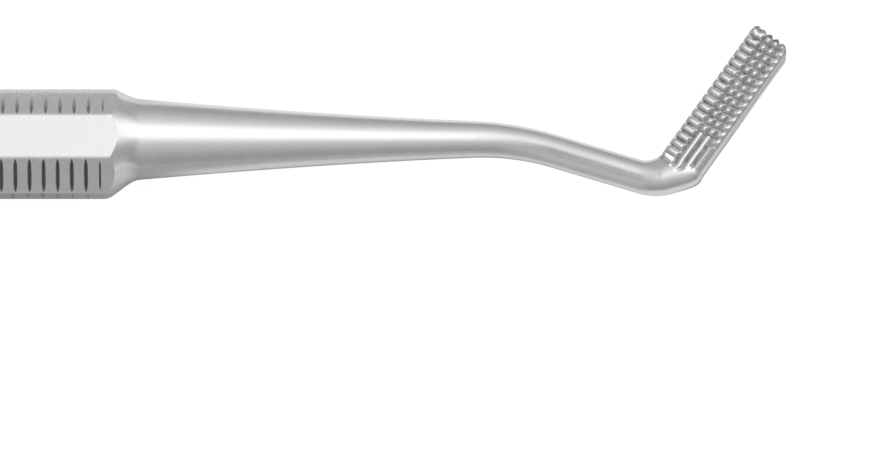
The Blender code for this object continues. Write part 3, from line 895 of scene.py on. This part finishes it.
# %% The milling
milled = milling.node(
    "GeometryNodeMeshBoolean",
    {"operation": "INTERSECT", "solver": "EXACT"},
    {"Mesh 2": [milling["Geometry"], bar]},
)
gripped = milling.node(
    "GeometryNodeMeshBoolean",
    {"operation": "DIFFERENCE", "solver": "EXACT"},
    {"Mesh 1": milled, "Mesh 2": wheel_cuts},
)
in_cut = milling.node("GeometryNodeInputNamedAttribute", {"data_type": "FLOAT"}, {"Name": "grip_cut"})
milling.finish(gripped, [(steel, None), (cut_steel, in_cut > 0.0)])
milling.run_on(handle_blank)
print("handle:", len(handle_blank.data.polygons), "faces, materials", len(handle_blank.data.materials))

# %% [markdown]
# One piece of metal
#
# The three finished stretches meet where the shanks are round, with the same
# ring of points on both sides. Their end caps go, the rings are merged, and one
# closed body is left. Edges are then marked sharp where a flat meets something
# else, so each flat stays flat in the light.


# %% Which faces are flats, and which are caps
SAME_POINT = 0.002
SAME_PLANE = 0.01
SAME_WAY = 0.99999
FACING_ALONG = 0.999
JOINS = (HALF_HANDLE + PUSHER["join"], -HALF_HANDLE - SCALER["join"])


def on_a_flat(face):
    """Whether a face lies in one of the handle's eight planes."""
    for flat in range(8):
        angle = flat * math.pi / 4
        y, z = math.sin(angle), math.cos(angle)
        if face.normal.y * y + face.normal.z * z > SAME_WAY:
            corner = face.verts[0].co
            return abs(corner.y * y + (corner.z - AXIS_HEIGHT) * z - AXIS_HEIGHT) < SAME_POINT
    return False


def is_cap(face):
    """Whether a face closes one of the stretches where two of them meet."""
    near = any(abs(face.calc_center_median().x - x) < SAME_PLANE for x in JOINS)
    return near and abs(face.normal.x) > FACING_ALONG


print("the stretches meet at x =", JOINS, "mm")


# %% Join, weld and mark the edges
SHARP_ANGLE = math.radians(28)


def joined(*pieces):
    bpy.ops.object.select_all(action="DESELECT")
    for piece in pieces:
        piece.select_set(True)
    bpy.context.view_layer.objects.active = pieces[0]
    bpy.ops.object.join()
    return pieces[0]


def weld(piece):
    shape = bmesh.new()
    shape.from_mesh(piece.data)
    caps = [face for face in shape.faces if is_cap(face)]
    bmesh.ops.delete(shape, geom=caps, context="FACES_ONLY")
    bmesh.ops.remove_doubles(shape, verts=shape.verts, dist=SAME_POINT)
    open_edges = sum(not edge.is_manifold for edge in shape.edges)
    flats = {face for face in shape.faces if on_a_flat(face)}
    for face in shape.faces:
        face.smooth = True
    for edge in shape.edges:
        mixed = len({face in flats for face in edge.link_faces}) == 2
        edge.smooth = not mixed and edge.calc_face_angle(0.0) <= SHARP_ANGLE
    volume = shape.calc_volume()
    shape.to_mesh(piece.data)
    shape.free()
    piece.data.transform(Matrix.Scale(MM, 4))
    return len(caps), open_edges, round(volume), len(flats)


instrument = joined(handle_blank, pusher, scaler)
instrument.name = instrument.data.name = "instrument"
print("caps, open edges, mm3, faces on flats:", weld(instrument))
instrument.data.calc_loop_triangles()
print("instrument:", len(instrument.data.loop_triangles), "triangles")
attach(instrument, "root")
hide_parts("instrument_body")

# %% [markdown]
# Satin steel
#
# Brushed steel is a mirror with very fine scratches. Its colour hardly varies,
# but its gloss does: soft cloudy patches from the polishing mop, and fine lines
# round the shank from turning. Noise makes both, because they follow no pattern.
# The handle is a little brighter than the shanks,
# and the flat of the blade is duller. The vees of the head and the grip cuts are
# darker with painted shade: in the vees it grows with their depth, in the cuts it
# is a set amount for each flat.


# %% Shader helpers
def start_shader(material):
    nodes = material.node_tree.nodes
    wire = Wire(material.node_tree)
    shader = nodes["Principled BSDF"]
    place = wire.node("ShaderNodeTexCoord", None, None, "Object")
    return wire, shader, place


def clouds(wire, place, size_mm, stretch=(1, 1, 1), detail=2.0):
    """Noise whose patches are about size_mm across, from 0 to 1."""
    scaled = wire.node("ShaderNodeVectorMath", {"operation": "MULTIPLY"}, {0: place, 1: stretch})
    noise = {"Vector": scaled, "Scale": 1 / (size_mm * MM), "Detail": detail}
    return wire.node("ShaderNodeTexNoise", None, noise)


def grey(wire, level):
    return wire.node("ShaderNodeCombineColor", None, {"Red": level, "Green": level, "Blue": level})


def connect(shader, socket, wire):
    wire.tree.links.new(wire.socket, shader.inputs[socket])


print("shader helpers ready")

# %% The brushed steel
STEEL_LEVEL = 0.70
MOTTLE = 0.12
VEE_PAINTED_SHADE = 0.34
HANDLE_END, HANDLE_GAIN = ((HALF_HANDLE + 2.0) * MM, (HALF_HANDLE + 0.5) * MM), 0.13
BLADE_START, BLADE_LOSS = (-77.0 * MM, -78.0 * MM), 0.25
ROUGHNESS, PATCH_ROUGHNESS, FINE_ROUGHNESS = 0.27, 0.12, 0.10
BRUSH_STRENGTH, BRUSH_DEPTH = 0.12, 0.012 * MM
TURNED_SHARE, FINE_SHARE = 0.6, 0.4

wire, shader, place = start_shader(steel)
shader.inputs["Metallic"].default_value = 1.0
patches = clouds(wire, place, 1.1)
fine = clouds(wire, place, 0.16)
turned = clouds(wire, place, 0.05, (1.0, 0.12, 0.12), 3.0)
cut = wire.node("ShaderNodeAttribute", {"attribute_name": "cut_depth"}, None, "Fac").clamped()
x = wire.node("ShaderNodeSeparateXYZ", None, {"Vector": place}, "X")
finish = 1 + x.absolute().fade(*HANDLE_END) * HANDLE_GAIN - x.fade(*BLADE_START) * BLADE_LOSS
mottled = 1 - MOTTLE / 2 + patches * MOTTLE
# Painted shade: the colour darkens where the head's vees are deeper
connect(shader, "Base Color", grey(wire, STEEL_LEVEL * finish * mottled * (1 - cut * VEE_PAINTED_SHADE)))
uneven = (patches - 0.5) * PATCH_ROUGHNESS + (fine - 0.5) * FINE_ROUGHNESS
connect(shader, "Roughness", ROUGHNESS + uneven)
relief = turned * TURNED_SHARE + fine * FINE_SHARE
bump = {"Strength": BRUSH_STRENGTH, "Distance": BRUSH_DEPTH, "Height": relief}
connect(shader, "Normal", wire.node("ShaderNodeBump", None, bump))
print("brushed steel:", len(steel.node_tree.nodes), "nodes")

# %% The dull steel in the cuts, with painted shade
CUT_LEVEL, CUT_PAINTED_SHADE = 0.78, 0.44
CUT_GRAIN = 0.4
CUT_ROUGHNESS, GRAIN_ROUGHNESS = 0.5, 0.15
# Behind the axis, towards the worn corner, the painted shade in the cuts fades out and turns to a
# little painted light
PAINTED_LIGHT_SIDE, PAINTED_LIGHT_HEIGHT, PAINTED_LIGHT_SHARE = (1.3 * MM, 3.0 * MM), (3.8 * MM, 4.6 * MM), 1.3

wire, shader, place = start_shader(cut_steel)
shader.inputs["Metallic"].default_value = 1.0
grain = clouds(wire, place, 0.08)
y = wire.node("ShaderNodeSeparateXYZ", None, {"Vector": place}, "Y")
# Painted light: the cuts get lighter there instead of darker
painted_light_in_cuts = y.fade(*PAINTED_LIGHT_SIDE) * y.out("Z").fade(*PAINTED_LIGHT_HEIGHT)
painted_shade = wire.node("ShaderNodeAttribute", {"attribute_name": "grip_cut"}, None, "Fac")
# Painted shade: the colour of each flat's cuts is darker by that flat's set amount
level = CUT_LEVEL - painted_shade * (1 - painted_light_in_cuts * PAINTED_LIGHT_SHARE) * CUT_PAINTED_SHADE
connect(shader, "Base Color", grey(wire, level * (1 - CUT_GRAIN / 2 + grain * CUT_GRAIN)))
connect(shader, "Roughness", CUT_ROUGHNESS + grain * GRAIN_ROUGHNESS)
print("cut steel:", len(cut_steel.node_tree.nodes), "nodes")

# %% [markdown]
# Floor, light and camera
#
# Polished metal shows the room, so the room is what has to be right: a broad
# soft light overhead, darker walls towards the horizon, and a pale floor that
# comes back in the undersides. Two white cards lie on the floor, in front of the
# shank and behind it. Only reflections see them, and they make the shank's light
# rims. The lamp is a soft gradient on the world, since an area light's edges would
# show in the metal. The camera sees the floor as white, with the shadow left on it.

# %% Sizes of the floor and its two cards
FLOOR_SIZE = 3.0
FLOOR_LEVEL = 0.60
WHITE_SHARE = 0.88
WHITE_STRENGTH = 1.10
# Across: between which millimetres from the axis each card fades in, and its strength
FRONT_CARD, FRONT_SHARE = (-1.8, -4.5), 0.57
BACK_CARD, BACK_CARD_END, BACK_SHARE = (1.6, 4.0), (12.0, 7.5), 0.85
# Along: the stretches of the instrument that the cards follow
BY_HANDLE, BY_CONE = (49 * MM, 45 * MM), (55 * MM, 51 * MM)
BY_SHANK, BY_BEND = (75 * MM, 65 * MM), (68 * MM, 78 * MM)
FRONT_CARD_FROM = (46 * MM, 51 * MM)
CONE_TRIM, CONE_LOSS = (-5.5, -9.0), 0.7
SHANK_TRIM, SHANK_LOSS = (-11.0, -14.0), 0.9
BENT_OFFSET, BENT_GAIN = 1.4, 0.2
HANDLE_WIDER, HANDLE_LOSS = 9, 0.46
print("floor", FLOOR_SIZE * 2, "m wide, cards", FRONT_SHARE, "and", BACK_SHARE, "of white")


# %% The floor
def cards(wire):
    """How white the floor is in a reflection, from the two cards."""
    place = wire.node("ShaderNodeTexCoord", None, None, "Object")
    x = wire.node("ShaderNodeSeparateXYZ", None, {"Vector": place}, "X")
    by_handle, by_bend = x.fade(*BY_HANDLE), x.fade(*BY_BEND)
    y = x.out("Y") / MM + by_bend * BENT_OFFSET
    front = y.fade(*FRONT_CARD) * x.fade(*FRONT_CARD_FROM) * FRONT_SHARE * (1 + by_bend * BENT_GAIN)
    front = front * (1 - x.fade(*BY_CONE) * y.fade(*CONE_TRIM) * CONE_LOSS)
    front = front * (1 - x.fade(*BY_SHANK) * y.fade(*SHANK_TRIM) * SHANK_LOSS)
    back = y.fade(*BACK_CARD) * (y - by_handle * HANDLE_WIDER).fade(*BACK_CARD_END)
    return front + back * BACK_SHARE * (1 - by_handle * HANDLE_LOSS)


def floor():
    corners = [(x * FLOOR_SIZE, y * FLOOR_SIZE, 0) for x, y in ((-1, -1), (1, -1), (1, 1), (-1, 1))]
    mesh = bpy.data.meshes.new("floor")
    mesh.from_pydata(corners, [], [(0, 1, 2, 3)])
    made = bpy.data.objects.new("floor", mesh)
    bpy.context.scene.collection.objects.link(made)
    material = bpy.data.materials.new("pale_floor")
    material.use_nodes = True
    nodes = material.node_tree.nodes
    nodes.remove(nodes["Principled BSDF"])
    wire = Wire(material.node_tree)
    rays = wire.node("ShaderNodeLightPath", None, None, "Is Camera Ray")
    pale = wire.node("ShaderNodeBsdfDiffuse", None, {"Color": (FLOOR_LEVEL,) * 3 + (1.0,)})
    white = {"Color": (1.0, 1.0, 1.0, 1.0), "Strength": WHITE_STRENGTH}
    white = wire.node("ShaderNodeEmission", None, white)
    seen = rays * WHITE_SHARE + rays.out("Is Glossy Ray") * cards(wire)
    mixed = wire.node("ShaderNodeMixShader", None, {0: seen, 1: pale, 2: white})
    wire.tree.links.new(mixed.socket, nodes["Material Output"].inputs["Surface"])
    mesh.materials.append(material)
    return made


pale_floor = floor()
print("floor laid")

# %% Levels and edges of the room and its lamp
ROOM_LEVEL = 0.54
LAMP_LEVEL = 1.29
# Each wall's start and end along its axis, and how much darker it gets there
FRONT_WALL = (-0.6, -0.99, 0.26)
RIGHT_WALL = (0.3, 0.8, 0.32)
LEFT_CORNER, LEFT_CORNER_GAIN = ((-0.12, -0.28), (-0.4, -0.8)), 0.35
# The lamp's edges, how its right half narrows to a strip, and the gap near its left edge
LAMP_FROM_LEFT, LAMP_FROM_BELOW = (-0.17, 0.12), (-0.05, 0.40)
LAMP_RIGHT_END = (0.75, 0.92, 0.3)
STRIP, STRIP_MIDDLE, STRIP_HALF, STRIP_LOSS = (0.08, 0.32), 0.3, (0.2, 0.5), 0.8
GAP, GAP_MIDDLE, GAP_HALF, GAP_LOSS = (-0.04, -0.10), 0.08, (0.22, 0.0), 0.6
# Place between the front horizon and the back one, and how bright the lamp is there
front_to_back = [
    (0.00, 0.00), (0.10, 0.03), (0.16, 0.06), (0.22, 0.135), (0.32, 0.25), (0.395, 0.52),
    (0.43, 0.76), (0.52, 1.00), (0.73, 0.90), (0.80, 0.60), (0.885, 0.36), (0.97, 0.11), (1.00, 0.00),
]
print("lamp", LAMP_LEVEL, "at its brightest, room", ROOM_LEVEL)

# %% Light from all round, brightest overhead
world = bpy.data.worlds.new("soft_studio")
world.use_nodes = True
bpy.context.scene.world = world
wire = Wire(world.node_tree)
direction = wire.node("ShaderNodeTexCoord", None, None, "Generated")
x = wire.node("ShaderNodeSeparateXYZ", None, {"Vector": direction}, "X")
y, z = x.out("Y"), x.out("Z")
lamp = wire.node("ShaderNodeValToRGB", {"stops": front_to_back}, {"Fac": y * 0.5 + 0.5})
room = ROOM_LEVEL * y.less(*FRONT_WALL) * x.less(*RIGHT_WALL)
room = room * (1 + x.fade(*LEFT_CORNER[0]) * y.fade(*LEFT_CORNER[1]) * LEFT_CORNER_GAIN)
off_strip = x.fade(*STRIP) * (y - STRIP_MIDDLE).absolute().fade(*STRIP_HALF)
lamp = lamp * x.fade(*LAMP_FROM_LEFT) * (1 - off_strip * STRIP_LOSS) * x.less(*LAMP_RIGHT_END)
lamp = lamp * z.fade(*LAMP_FROM_BELOW) * LAMP_LEVEL
in_gap = x.fade(*GAP) * (y - GAP_MIDDLE).absolute().fade(*GAP_HALF)
level = (room + lamp) * (1 - in_gap * GAP_LOSS)
camera_sees = wire.node("ShaderNodeLightPath", None, None, "Is Camera Ray")
level = level * (1 - camera_sees) + camera_sees
background = world.node_tree.nodes["Background"]
connect(background, "Strength", level)
background.inputs["Color"].default_value = (1.0, 1.0, 1.0, 1.0)
print("world lit by", len(world.node_tree.nodes), "nodes")

# %% Camera, as the photograph's upper row is seen
PIXELS_PER_MM = 16.7
FRAME_WIDTH, FRAME_HEIGHT = 870, 450
SHOULDER_PIXEL = 107.0
AXIS_PIXEL = 143.7
CAMERA_ELEVATION = math.radians(82.0)
LENS, SENSOR = 900.0, 36.0

camera_data = bpy.data.cameras.new("camera")
camera_data.type = "PERSP"
camera_data.lens, camera_data.sensor_width = LENS, SENSOR
camera_data.clip_start, camera_data.clip_end = 0.01, 10.0
camera = bpy.data.objects.new("camera", camera_data)
bpy.context.scene.collection.objects.link(camera)
bpy.context.scene.camera = camera
target_x = HALF_HANDLE + (FRAME_WIDTH / 2 - SHOULDER_PIXEL) / PIXELS_PER_MM
target_y = (AXIS_PIXEL - FRAME_HEIGHT / 2) / (PIXELS_PER_MM * math.sin(CAMERA_ELEVATION))
distance = LENS / SENSOR * FRAME_WIDTH / PIXELS_PER_MM
camera.location = (
    target_x * MM,
    (target_y - distance * math.cos(CAMERA_ELEVATION)) * MM,
    (AXIS_HEIGHT + distance * math.sin(CAMERA_ELEVATION)) * MM,
)
camera.rotation_euler = (math.pi / 2 - CAMERA_ELEVATION, 0, 0)
print("camera at", [round(value, 3) for value in camera.location])

bpy.context.scene.view_settings.view_transform = "Standard"
